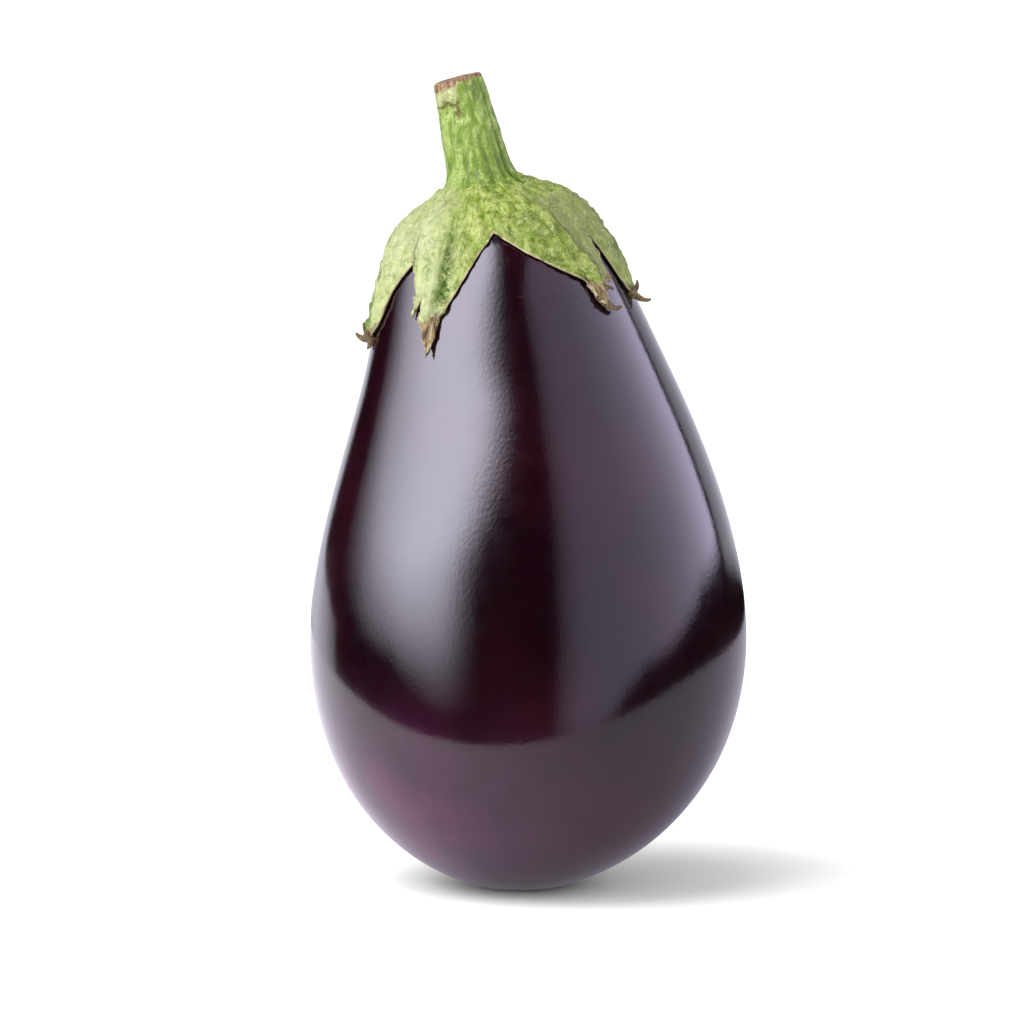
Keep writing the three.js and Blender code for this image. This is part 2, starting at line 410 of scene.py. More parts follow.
def leaf_material(calyx):
    """Leathery calyx: a puckered green blade under short curled hairs, and sepals that have
    dried to straw and bark at their tips and edges."""
    material, add = new_material("Hairy calyx leaf")
    place = add("TexCoord", {}, "Object")
    dry, rim, painted_shade, shaded_side, seam, under, east, north, along = (
        add("Attribute", {}, "Fac", attribute_name=name)
        for name in ("dry", "rim", "painted_shade", "shaded_side", "seam", "under", "east", "north", "along")
    )
    flow = add("CombineXYZ", {0: east, 1: north, 2: along})

    # Puckers and veins: paler crests, and dark valleys that are painted shade.
    pucker = add("TexNoise", {"Vector": place, "Scale": 1 / 0.0024, "Detail": 4, "Distortion": 1.1})
    streaks = add("Mapping", {"Vector": flow, "Scale": (1, 1, 0.2)})
    vein = add("TexNoise", {"Vector": streaks, "Scale": 0.9, "Detail": 3, "Distortion": 0.4})
    tone = add("Mix", {0: 0.42, 2: pucker, 3: vein}, data_type="FLOAT")
    base = add("Mix", {0: add("MapRange", {0: tone, 1: 0.45, 2: 0.60}, **EASED),
                       6: calyx.fresh, 7: calyx.pale}, 2, **COLOURS)
    broad = add("TexNoise", {"Vector": place, "Scale": 1 / 0.009})
    # Painted light: the blade is painted paler on its left, where the key light and the bright panel's
    # sheen fall.
    lit = add("MapRange", {0: add("SeparateXYZ", {0: place}), 1: -0.009, 2: -0.022, 4: 0.85}, **EASED)
    lit = add("Math", {0: lit, 1: add("MapRange", {0: broad, 1: 0.3, 2: 0.6, 3: 0.5, 4: 1})}, **TIMES)
    base = add("Mix", {0: lit, 6: base, 7: calyx.painted_sheen}, 2, **COLOURS)
    valley_shade = add("MapRange", {0: tone, 1: 0.48, 2: 0.38, 4: 0.75}, **EASED)
    valley_shade = add("Math", {0: valley_shade, 1: add("MapRange", {0: lit, 3: 1, 4: 0.35})}, **TIMES)
    base = add("Mix", {0: valley_shade, 6: base, 7: calyx.deep}, 2, **COLOURS)
    # Painted shade: faces turned away from the key light are greyed.
    base = add("Mix", {0: add("Math", {0: shaded_side, 1: 0.75}, **TIMES), 6: base, 7: calyx.grey}, 2, **COLOURS)
    # Painted shade: the band beside each rib, and faces turned away from the key light, are darkened
    # towards the deep green.
    uneven = add("MapRange", {0: pucker, 1: 0.62, 2: 0.38, 3: 0.7, 4: 1.2}, **EASED)
    shaded = add("Math", {0: painted_shade, 1: uneven}, **TIMES)
    base = add("Mix", {0: shaded, 6: base, 7: calyx.deep}, 2, **COLOURS)

    # Crests and curled hairs are thin pale lines where a winding noise passes its middle value.
    winding = add("TexNoise", {"Vector": place, "Scale": 1 / 0.0021, "Detail": 1, "Distortion": 1.8})
    crest = add("Math", {0: add("Math", {0: winding, 1: 0.5}, **MINUS)}, operation="ABSOLUTE")
    crest = add("MapRange", {0: crest, 1: 0.07, 2: 0.0}, **EASED)
    thick = add("TexNoise", {"Vector": place, "Scale": 1 / 0.0045})
    thick = add("MapRange", {0: thick, 1: 0.42, 2: 0.58, 3: 0.1, 4: 0.65}, **EASED)
    hairs = add("Math", {0: crest, 1: thick}, **TIMES)
    base = add("Mix", {0: hairs, 6: base, 7: calyx.hair}, 2, **COLOURS)

    # Dry parts: the tips, the creases and a thin line along the edge.
    thread = add("Mapping", {"Vector": flow, "Scale": (1, 1, 0.12)})
    fibre = add("TexNoise", {"Vector": thread, "Scale": 2.2, "Detail": 3})
    dead = add("Mix", {0: add("MapRange", {0: fibre, 1: 0.38, 2: 0.58}, **EASED),
                       6: calyx.bark, 7: calyx.straw}, 2, **COLOURS)
    fray = add("MapRange", {0: add("TexNoise", {"Vector": place, "Scale": 1 / 0.0012}), 3: -0.3, 4: 0.3})
    frayed = add("MapRange", {0: add("Math", {0: dry, 1: fray}, **PLUS), 1: 0.3, 2: 0.7}, **EASED)
    base = add("Mix", {0: frayed, 6: base, 7: dead}, 2, **COLOURS)
    base = add("Mix", {0: add("Math", {0: seam, 1: 0.85}, **TIMES), 6: base, 7: calyx.bark}, 2, **COLOURS)
    width = add("MapRange", {0: add("TexNoise", {"Vector": place, "Scale": 1 / 0.0022}),
                             1: 0.2, 2: 0.8, 3: 0.12, 4: 0.5})
    edge = add("Math", {0: rim, 1: width}, operation="DIVIDE")
    edge = add("MapRange", {0: edge, 1: 1.1, 2: 0.6, 4: 0.9}, **EASED)
    base = add("Mix", {0: edge, 6: base, 7: calyx.rim}, 2, **COLOURS)
    # Painted shade: the side that lies on the skin is darkened.
    base = add("Mix", {0: under, 6: base, 7: calyx.underside_shade}, 2, **COLOURS)

    height = add("Math", {0: add("Math", {0: hairs, 1: 0.2}, **TIMES), 1: tone}, **PLUS)
    height = add("Math", {0: height, 1: add("Math", {0: dry, 1: fibre}, **TIMES)}, **PLUS)
    bump = add("Bump", {"Strength": 1.0, "Distance": 0.0014, "Height": height})
    shader = add("BsdfPrincipled", {
        "Base Color": base, "Roughness": 0.45, "Specular IOR Level": 0.35, "Normal": bump,
        "Sheen Weight": 0.04, "Sheen Roughness": 0.5,
    })
    add("OutputMaterial", {0: shader})
    return material


def stem_material(stem):
    """Herbaceous stem: green ridges with whitish streaks, darker grooves, and a rim and end that
    dried brown after it was cut."""
    material, add = new_material("Cut green stem")
    place = add("TexCoord", {}, "Object")
    groove, below, turn, left = (
        add("Attribute", {}, "Fac", attribute_name=name) for name in ("painted_shade", "below", "turn", "left")
    )
    lengthways = add("Mapping", {"Vector": place, "Scale": (1, 1, 0.4), "Rotation": (0, 0.24, 0)})

    streak = add("TexNoise", {"Vector": lengthways, "Scale": 1 / 0.0014, "Detail": 4})
    patch = add("TexNoise", {"Vector": lengthways, "Scale": 1 / 0.0026, "Detail": 4, "Distortion": 0.7})
    base = add("Mix", {0: add("MapRange", {0: streak, 1: 0.45, 2: 0.65}, **EASED),
                       6: stem.fresh, 7: stem.pale}, 2, **COLOURS)
    # Partly painted light: the whitish patches are the stem's own, but they gather on the left, where the
    # key light falls.
    key_lit_stem_side = add("MapRange", {0: left, 1: -0.17, 2: 0.71, 3: 0.12, 4: 0.9}, **EASED)
    whitish = add("MapRange", {0: patch, 1: 0.53, 2: 0.60, 4: 0.8}, **EASED)
    whitish = add("Math", {0: whitish, 1: key_lit_stem_side}, **TIMES)
    base = add("Mix", {0: whitish, 6: base, 7: stem.pale}, 2, **COLOURS)
    # Painted shade: the patch valleys, which the bump also sinks, are darkened.
    valley_shade = add("MapRange", {0: patch, 1: 0.46, 2: 0.36, 4: 0.6}, **EASED)
    base = add("Mix", {0: valley_shade, 6: base, 7: stem.deep}, 2, **COLOURS)
    # Painted shade: the grooves are darkened towards the deep green.
    groove_shade = add("MapRange", {0: groove, 1: 0.25, 2: 0.95, 4: 0.9}, **EASED)
    base = add("Mix", {0: groove_shade, 6: base, 7: stem.deep}, 2, **COLOURS)
    winding = add("TexNoise", {"Vector": place, "Scale": 1 / 0.0017, "Detail": 1, "Distortion": 1.8})
    crest = add("Math", {0: add("Math", {0: winding, 1: 0.5}, **MINUS)}, operation="ABSOLUTE")
    crest = add("MapRange", {0: crest, 1: 0.045, 2: 0.0, 4: 0.5}, **EASED)
    base = add("Mix", {0: crest, 6: base, 7: stem.hair}, 2, **COLOURS)

    # Below the cut: a dry rim, a bleached patch on the left, and a brown scratch with a drip.
    wander = add("TexNoise", {"Vector": place, "Scale": 1 / 0.0026, "Detail": 3})
    wander = add("MapRange", {0: wander, 1: 0.25, 2: 0.75, 3: -0.0010, 4: 0.0010})
    ragged = add("Math", {0: below, 1: wander}, **PLUS)
    depth = add("MapRange", {0: left, 1: -0.34, 2: 0.71, 3: 0.0009, 4: 0.0020}, **EASED)
    brown = add("MapRange", {0: add("Math", {0: ragged, 1: depth}, **MINUS), 1: 0.0004, 2: -0.0002})
    left_only = add("MapRange", {0: left, 1: 0.035, 2: 0.24}, **EASED)
    scratch = add("Math", {0: add("Math", {0: ragged, 1: 0.0054}, **MINUS)}, operation="ABSOLUTE")
    scratch = add("MapRange", {0: scratch, 1: 0.00045, 2: 0.0001}, **EASED)
    scratch = add("Math", {0: scratch, 1: left_only}, **TIMES)
    beside = add("Math", {0: add("Math", {0: wander, 1: 7000}, **TIMES), 1: turn}, **PLUS)
    beside = add("Math", {0: add("Math", {0: beside, 1: 14}, **PLUS)}, operation="ABSOLUTE")
    beside = add("MapRange", {0: beside, 1: 6, 2: 2}, **EASED)
    drip = add("MapRange", {0: add("Math", {0: ragged, 1: 0.0070}, **MINUS), 1: 0.0022, 2: 0.0012})
    start = add("MapRange", {0: below, 1: 0.0046, 2: 0.0054})
    front = add("MapRange", {0: add("SeparateXYZ", {0: place}, "Y"), 1: 0, 2: -0.001})
    drip = add("Math", {0: add("Math", {0: drip, 1: start}, **TIMES), 1: beside}, **TIMES)
    drip = add("Math", {0: drip, 1: front}, **TIMES)
    bleached = add("MapRange", {0: ragged, 1: 0.0052, 2: 0.0036, 4: 0.6}, **EASED)
    bleached = add("Math", {0: bleached, 1: left_only}, **TIMES)
    base = add("Mix", {0: bleached, 6: base, 7: stem.bleached}, 2, **COLOURS)
    fibre = add("TexNoise", {"Vector": lengthways, "Scale": 1 / 0.0009, "Detail": 3})
    dried = add("Mix", {0: add("MapRange", {0: fibre, 1: 0.36, 2: 0.56}, **EASED),
                        6: stem.bark, 7: stem.cut}, 2, **COLOURS)
    base = add("Mix", {0: brown, 6: base, 7: dried}, 2, **COLOURS)
    marks = add("Math", {0: scratch, 1: drip}, operation="MAXIMUM")
    marks = add("Math", {0: marks, 1: 0.75}, **TIMES)
    base = add("Mix", {0: marks, 6: base, 7: stem.bark}, 2, **COLOURS)

    height = add("Math", {0: add("Math", {0: streak, 1: patch}, **PLUS), 1: crest}, **PLUS)
    height = add("Math", {0: height, 1: marks}, **MINUS)
    bump = add("Bump", {"Strength": 0.8, "Distance": 0.0008, "Height": height})
    shader = add("BsdfPrincipled", {
        "Base Color": base, "Roughness": 0.42, "IOR": 1.42, "Normal": bump,
    })
    add("OutputMaterial", {0: shader})
    return material


# -------------------- grown details

# The calyx, counterclockwise seen from above and sepal by sepal. The edge runs from the notch before
# the sepal to the notch after it, and the rib from its root to its tip: azimuth in degrees from the
# front and reach in mm from the crown. fold is the height of the rib and lift that of the tip off the
# skin, in mm, dry is the reach where the tip starts to be dry, and the last key says where its green is
# painted greyer as shade, on faces turned away from the key light.
SEPALS = [
    {"edge": [(-126, 29), (-101, 39), (-84, 47.5), (-73, 43.5), (-69, 41), (-63, 35.5), (-56, 32),
              (-47, 28.5)],
     "rib": [(-96, 10), (-90, 25), (-85, 45)], "fold": 0.2, "dry": 43, "lift": 0.2},
    {"edge": [(-47, 28.5), (-43, 34), (-43, 38), (-44, 42), (-38, 37), (-39, 40), (-40, 42), (-37, 45),
              (-33, 51.5), (-31, 43), (-25, 40), (-17, 34.5), (-9, 29.5), (3, 24)],
     "rib": [(-33, 9), (-24, 15), (-24, 22), (-28, 33), (-33, 48)], "fold": 1.5, "dry": 41.4, "lift": 0.7},
    {"edge": [(3, 24), (17, 30), (33, 36), (42, 39), (45, 42), (46, 45), (49, 46), (52, 42.5),
              (56, 40.5), (59, 41), (59, 37), (62, 29.5)],
     "rib": [(20, 9), (27, 16), (37, 22), (44, 32), (49, 38), (48, 43)],
     "fold": 1.3, "dry": 39.4, "lift": 1, "shaded_side": "right of its rib"},
    {"edge": [(62, 29.5), (65, 33), (72, 43.5), (79, 46), (88, 40.5), (106, 31.5), (118, 28)],
     "rib": [(74, 10), (78, 25), (78, 46)], "fold": 0.2, "dry": 43, "lift": 0.3, "shaded_side": "all over"},
    {"edge": [(118, 28), (137, 36), (145, 41), (152, 48), (161, 39), (182, 26)],
     "rib": [(152, 10), (150, 30), (152, 48)], "fold": 1.2, "dry": 42, "lift": 1.6},
    {"edge": [(182, 26), (201, 36), (214, 46.5), (218, 41), (234, 29)],
     "rib": [(212, 10), (210, 30), (213, 47)], "fold": 1.2, "dry": 41.5, "lift": 1.8},
]

# Dry hooks at the tips of the sepals, from root to point: azimuth in degrees, reach and height
# above the skin in mm, and radius in mm.
HOOKS = [
    [(-82, 45.6, 0.8, 1.3), (-84, 47, 1.1, 1.3), (-87, 47.8, 1.7, 0.9), (-90, 47.4, 2.8, 0.55),
     (-92, 46.6, 3.8, 0.28)],
    [(-83, 46.4, 0.9, 1.2), (-85, 45.8, 1.6, 0.8), (-86, 45, 2.2, 0.5), (-86, 44.2, 2.5, 0.35),
     (-86, 43.4, 2.7, 0.2)],
    [(-79, 46.6, 0.6, 1), (-80, 47.8, 0.5, 0.9), (-81, 48.6, 0.5, 0.6), (-82, 49, 0.6, 0.4),
     (-83, 49.3, 0.8, 0.2)],
    [(46.5, 43, 0.9, 1.1), (48.5, 45.4, 1.1, 1.1), (50.2, 46.9, 1.2, 0.85), (53, 47.4, 1.5, 0.5),
     (55.5, 47, 1.8, 0.3)],
    [(49.5, 42, 1, 0.9), (51, 42.2, 1.7, 0.7), (52.6, 42.1, 2.1, 0.5), (54, 42.4, 2.1, 0.4),
     (54.8, 43, 1.9, 0.25)],
    [(75.5, 44.2, 0.5, 1.1), (77, 45.8, 0.9, 1), (78, 47, 1.4, 0.7), (79, 48, 2.2, 0.45),
     (80.5, 48, 3.3, 0.3)],
    [(76, 44.6, 0.6, 1.1), (78, 44.8, 1.3, 0.75), (79, 44.4, 1.9, 0.5), (79.5, 43.8, 2.2, 0.4),
     (80, 43, 2.4, 0.25)],
    [(152, 46, 1, 0.9), (152, 47.8, 1.4, 0.8), (153, 49, 2.1, 0.6), (154.5, 49.2, 2.9, 0.4),
     (156, 48.6, 3.7, 0.25)],
    [(213, 44.6, 1, 0.9), (213.5, 46.4, 1.5, 0.8), (214, 47.4, 2.3, 0.6), (212.5, 47.2, 3.1, 0.4),
     (211, 46.2, 3.7, 0.25)],
]

# Grooves of the stem, which run on a little way into the calyx: azimuth in degrees and depth.
GROOVES = [(-80, 0.5), (-47, 0.4), (-20, 0.6), (2, 0.35), (19, 0.75), (42, 0.6), (57, 1.0), (95, 0.7),
           (138, 0.9), (163, 0.5), (206, 0.8), (241, 0.6)]


def groove_at(turn, width):
    """How deep in a groove a point of the stem or collar is, from 0 to 1."""
    depth = 0
    for azimuth, strength in GROOVES:
        away = np.abs((np.degrees(turn) - azimuth + 180) % 360 - 180)
        depth = np.maximum(depth, strength * np.exp(-((away / width) ** 2)))
    return depth


# -------------------- operators


class EGGPLANT_OT_fruit(bpy.types.Operator):
    """Make the fruit: rings extruded along its outline, from the flower's scar to the crown"""

    bl_idname = "eggplant.fruit"
    bl_label = "Fruit"

    def execute(self, context):
        fruit = context.scene.eggplant_fruit
        skin = Skin(fruit)
        foot = [(1.2, 0.55), (3.0, 0.4), (3.7, 0.05), (4.6, 0), (8.2, 0)]
        rings = [skin.ring(radius * MM, height * MM) for radius, height in foot]
        reaches = np.concatenate([
            skin.length - np.array([0, 1.5, 3.5, 6, 9]) * MM,
            np.linspace(skin.length - 13 * MM, 0.7 * MM, 44),
        ])
        rings += [skin.ring(*(float(v) for v in skin.section(reach))) for reach in reaches]
        piece = extrude_rings("fruit_flesh", 64, rings)
        modify(piece, "SUBSURF", levels=2, render_levels=2)
        height = places(piece)[:, 2]
        weigh(piece, "ripple", smooth(height, 0.012, 0.035) * smooth(height, 0.155, 0.13))
        modify(piece, "DISPLACE", texture=cloud("skin waves", 0.045), strength=fruit.ripple * 2,
               mid_level=0.5, vertex_group="ripple")
        finish_piece(piece, skin_material(fruit), "fruit")
        return {"FINISHED"}


def make_hook(skin, points):
    """One dry hook: a path bent through its points, thickened to a tapering tube."""
    bpy.ops.object.select_all(action="DESELECT")
    bpy.ops.curve.primitive_nurbs_path_add(radius=MM)
    hook = bpy.context.object
    spline = hook.data.splines[0]
    for knot, (azimuth, reach, height, radius) in zip(spline.points, points):
        knot.co = (*skin.point(reach * MM, math.radians(azimuth), height * MM), 1)
        knot.radius = radius
    hook.data.bevel_depth, hook.data.bevel_resolution = MM, 3
    hook.data.resolution_u, hook.data.use_fill_caps = 6, True
    bpy.ops.object.convert(target="MESH")
    hook = bpy.context.object
    bpy.ops.object.transform_apply(location=True, rotation=True, scale=True)
    modify(hook, "SUBSURF", levels=1, render_levels=1)
    modify(hook, "DISPLACE", texture=cloud("hook", 0.0012), strength=0.4 * MM, mid_level=0.5)
    ends = places(hook)
    # Seam at 0.6 darkens each whole hook towards bark: partly its dry colour, partly painted shade.
    for name, value in (("dry", 1), ("rim", 20), ("painted_shade", 0), ("shaded_side", 0), ("seam", 0.6), ("under", 0)):
        mark(hook, name, np.full(len(ends), value))
    for name, values in zip(("east", "north", "along"), ends.T / MM):
        mark(hook, name, values)
    return hook


class EGGPLANT_OT_calyx(bpy.types.Operator):
    """Make the calyx: a sheet shaped sepal by sepal on the skin, thickened and roughened"""

    bl_idname = "eggplant.calyx"
    bl_label = "Calyx"

    columns = 96  # of one sepal
    cap_rows = 22
    fan_rows = 40
    cap_reach = 17 * MM
    root_reach = 9.1 * MM  # where the stem's root ends
    thinnest = 0.4 * MM
    girth = 24  # radius of the cylinder that the pattern's coordinates lie on, in mm

    def edge_points(self, skin):
        """Points along the edge: azimuth, reach and the azimuth from which the column fans out."""
        azimuth, reach, root = [], [], []
        for sepal in SEPALS:
            corners = np.array(sepal["edge"], float) * (1, MM)
            radius = skin.section(corners[:, 1])[0]
            across = np.radians(np.diff(corners[:, 0])) * (radius[1:] + radius[:-1]) / 2
            along = np.concatenate([[0], np.cumsum(np.hypot(across, np.diff(corners[:, 1])))])
            at = np.linspace(0, 1, self.columns, endpoint=False)
            azimuth.append(np.interp(at * along[-1], along, corners[:, 0]))
            reach.append(np.interp(at * along[-1], along, corners[:, 1]))
            root.append(corners[0, 0] + at * (corners[-1, 0] - corners[0, 0]))
        return [np.concatenate(part) for part in (azimuth, reach, root)]

    def execute(self, context):
        calyx = context.scene.eggplant_calyx
        skin = Skin(context.scene.eggplant_fruit)
        azimuth, edge, root = self.edge_points(skin)
        count = len(azimuth)

        # Reach and azimuth of the sheet's points, row by row: level rows, then rows that fan out.
        level = np.linspace(0, self.cap_reach, self.cap_rows + 1)[1:, None] + 0 * edge
        fan = np.linspace(0, 1, self.fan_rows + 1)[1:, None]
        reach = np.vstack([level, self.cap_reach + (edge - self.cap_reach) * fan])
        turn = np.radians(np.vstack([root + 0 * level, root + (azimuth - root) * fan**1.2]))
        radius = skin.section(reach)[0]
        which = np.repeat(np.arange(len(SEPALS)), self.columns)[None, :] + 0 * reach.astype(int)

        # Distance from each point to the nearest point of the edge, within its own sepal.
        rim = np.empty_like(reach)
        for index in range(len(SEPALS)):
            own = slice(index * self.columns, (index + 1) * self.columns)
            border = slice(index * self.columns, (index + 1) * self.columns + 1)
            border_turn = np.radians(np.append(azimuth, azimuth[0] + 360)[border])
            border_reach = np.append(edge, edge[0])[border]
            for row in range(len(reach)):
                across = radius[row, own, None] * (turn[row, own, None] - border_turn)
                away = reach[row, own, None] - border_reach
                rim[row, own] = np.hypot(across, away).min(axis=1)

        # Ribs: a fold along the middle of each sepal, steeper on its right than on its left.
        rib, painted_shade, dry, lift, shaded_side, seam = (np.zeros_like(reach) for _ in range(6))
        for index, sepal in enumerate(SEPALS):
            own = which == index
            line = np.array(sepal["rib"], float)
            middle = np.radians(np.interp(reach / MM, line[:, 1], line[:, 0]))
            off = radius * (turn - middle)
            width = np.where(off > 0, 1.9 * MM, 5 * MM)
            fold = np.exp(-np.hypot(off, 0.25 * MM) / width) * smooth(reach, 10 * MM, 20 * MM)
            rib[own] = (sepal["fold"] * fold * smooth(rim, 0, 3 * MM))[own]
            # Painted shade: a darker band just right of each rib, where the fold shades the face turned
            # away from the key light.
            beside = np.exp(-(((off - 1.5 * MM) / (1.3 * MM)) ** 2)) * smooth(reach, 18 * MM, 26 * MM)
            painted_shade[own] = (beside * smooth(rim, 0.5 * MM, 2.5 * MM))[own]
            # Painted shade: sepals turned away from the key light are painted greyer, all over or right of
            # the rib.
            if sepal.get("shaded_side") == "all over":
                shaded_side[own] = (0.7 * smooth(reach, 10 * MM, 22 * MM))[own]
            if sepal.get("shaded_side") == "right of its rib":
                shaded_side[own] = (smooth(off, -0.4 * MM, 0.8 * MM) * smooth(reach, 14 * MM, 21 * MM))[own]
                # Painted shade: left of this sepal's rib the green is darkened, as that face gets less
                # light.
                deep = 0.3 * smooth(off, 0.4 * MM, -0.8 * MM) * smooth(reach, 15 * MM, 25 * MM)
                painted_shade[own] = np.maximum(0.3 * painted_shade, deep)[own]
                line = np.exp(-((off / (0.35 * MM)) ** 2)) * smooth(reach, 20 * MM, 23 * MM)
                seam[own] = (line * smooth(reach, 42 * MM, 38 * MM))[own]
            start = sepal["dry"] * MM
            inward = 2.6 * MM * smooth(rim, 0.2 * MM, 1.8 * MM)
            dry[own] = smooth(reach, start - 1.4 * MM + inward, start + 0.4 * MM + inward)[own]
            curl = np.clip((reach - start + 9 * MM) / (15 * MM), 0, 1.2)
            lift[own] = (sepal["lift"] * MM * curl**2)[own]

        # A dry crease runs on from the notch in front, where two sepals overlap.
        crease = radius * (turn - np.radians(np.interp(reach / MM, [22, 28.5], [-43, -47])))
        crease = np.exp(-((crease / (0.5 * MM)) ** 2)) * smooth(reach, 21 * MM, 24 * MM) * (reach < 29 * MM)
        seam = np.maximum(seam, crease * 0.8)

        collar = np.exp((self.root_reach - np.maximum(reach, self.root_reach)) / (2.8 * MM))
        blade = calyx.rim_thickness + (calyx.thickness - calyx.rim_thickness) * smooth(rim, 0, 2.5 * MM)
        grooved = groove_at(turn, 8) * smooth(reach, 22 * MM, 9 * MM) * 0.8 * MM
        thickness = blade + calyx.collar_rise * collar + rib * MM - grooved - crease * 0.5 * MM
        thickness = np.maximum(thickness, self.thinnest)
        most = float(thickness.max())

        corners = skin.point(reach, turn, calyx.clearance + lift).reshape(-1, 3)
        centre = skin.point(np.float64(0), np.float64(0), calyx.clearance)
        faces = [(len(corners), i, (i + 1) % count) for i in range(count)]
        for row in range(len(reach) - 1):
            a, b = row * count, (row + 1) * count
            faces += [(a + i, b + i, b + (i + 1) % count, a + (i + 1) % count) for i in range(count)]
        mesh = bpy.data.meshes.new("calyx_leaf")
        mesh.from_pydata([*corners.tolist(), centre.tolist()], [], faces)
        piece = bpy.data.objects.new("calyx_leaf", mesh)
        context.scene.collection.objects.link(piece)
        bpy.ops.object.select_all(action="DESELECT")

        flat = lambda values, last: np.append(values.reshape(-1), last)
        weigh(piece, "thickness", flat(thickness, thickness[0, 0]) / most)
        for name, values in (("dry", dry), ("painted_shade", painted_shade), ("shaded_side", shaded_side), ("seam", seam)):
            mark(piece, name, flat(values, 0))
        mark(piece, "rim", flat(rim / MM, 20))
        mark(piece, "east", flat(self.girth * np.sin(np.radians(root + 0 * reach)), 0))
        mark(piece, "north", flat(self.girth * np.cos(np.radians(root + 0 * reach)), 0))
        mark(piece, "along", flat(reach / MM, 0))
        piece.vertex_groups.new(name="under side")
        modify(piece, "SOLIDIFY", thickness=most, offset=1, use_rim=True, vertex_group="thickness",
               shell_vertex_group="under side", thickness_vertex_group=0)

        values = np.empty(len(piece.data.vertices))
        piece.data.attributes["dry"].data.foreach_get("value", values)
        under = piece.vertex_groups["under side"].index
        on_top = np.array([not any(g.group == under and g.weight > 0.5 for g in v.groups)
                           for v in piece.data.vertices])
        # Painted shade: this marks the side that lies on the skin, which its material darkens as shade.
        mark(piece, "under", 0.8 - 0.8 * on_top)
        weigh(piece, "bumps", on_top * (1 - values * 0.5))
        weigh(piece, "crumple", values * 0.9 + 0.1 * on_top)
        modify(piece, "DISPLACE", texture=cloud("leather", 0.0024), strength=calyx.bump_height,
               mid_level=0.5, vertex_group="bumps")
        modify(piece, "DISPLACE", texture=cloud("crumple", 0.0018), strength=1.0 * MM, mid_level=0.5,
               vertex_group="crumple")
        hooks = [make_hook(skin, points) for points in HOOKS]
        bpy.ops.object.select_all(action="DESELECT")
        for hook in hooks:
            hook.select_set(True)
        piece.select_set(True)
        bpy.context.view_layer.objects.active = piece
        bpy.ops.object.join()
        finish_piece(piece, leaf_material(calyx), "calyx")
        return {"FINISHED"}


class EGGPLANT_OT_stem(bpy.types.Operator):
    """Make the stem: rings extruded from its flared root to the cut, then grooved"""

    bl_idname = "eggplant.stem"
    bl_label = "Stem"

    def execute(self, context):
        stem = context.scene.eggplant_stem
        skin = Skin(context.scene.eggplant_fruit)
        root, tip = stem.root_height, stem.tip_height
        flare = [(8.0, -0.4), (11.4, 0), (10.3, 0.9), (8.9, 1.8), (7.95, 2.9), (7.35, 4.6), (7.05, 6.6),
                 (6.8, 9), (6.6, 12), (6.35, 15), (6.05, 18), (5.8, 21), (5.6, 23.6)]
        outline = [(radius * MM, root + rise * MM) for radius, rise in flare]
        edge = stem.tip_radius
        outline += [(edge, tip - 1.3 * MM), (edge - 0.2 * MM, tip - 0.4 * MM), (edge - 0.7 * MM, tip),
                    (edge - 1.5 * MM, tip - 0.1 * MM), (edge - 2.4 * MM, tip - 0.45 * MM),
                    (1.6 * MM, tip - 0.5 * MM), (0.7 * MM, tip - 0.8 * MM)]
        rings = []
        for radius, height in outline:
            centre, radius, lean = skin.ring(radius, height)
            rings.append((Vector(centre) + Vector((stem.shift, 0, 0)), radius + stem.swell, lean))
        piece = extrude_rings("stem_stub", 64, rings)
        modify(piece, "SUBSURF", levels=2, render_levels=2)

        where = places(piece)
        axis = np.array([skin.ring(0, height)[0] for height in np.linspace(root - MM, tip + MM, 60)])
        lean = (tip - context.scene.eggplant_fruit.belly_rise) / context.scene.eggplant_fruit.bow_radius
        along = np.array([-math.sin(lean), 0, math.cos(lean)])
        below = (axis[-1] - where) @ along - MM
        centre_x = np.interp(where[:, 2], axis[:, 2], axis[:, 0]) + stem.shift
        turn = np.arctan2(where[:, 0] - centre_x, -where[:, 1])
        deeper = 0.35 + 0.65 * smooth(below, 9 * MM, 21 * MM)
        depth = groove_at(turn, 6) * smooth(below, 0, 7 * MM) * deeper
        depth = np.maximum(depth, groove_at(turn, 3.2) ** 3 * smooth(below, 0, 4 * MM))
        weigh(piece, "groove", depth)
        modify(piece, "DISPLACE", strength=-stem.groove_depth, mid_level=0, vertex_group="groove")
        weigh(piece, "rough", smooth(below, -1 * MM, 2 * MM) * 0.6 + 0.4)
        modify(piece, "DISPLACE", texture=cloud("stem bumps", 0.003), strength=0.45 * MM, mid_level=0.5,
               vertex_group="rough")
        # Painted shade: the material darkens the grooves by this depth.
        mark(piece, "painted_shade", depth)
        mark(piece, "below", below)
        mark(piece, "turn", np.degrees(turn))
        mark(piece, "left", -np.sin(turn))
        finish_piece(piece, stem_material(stem), "stem")
        return {"FINISHED"}


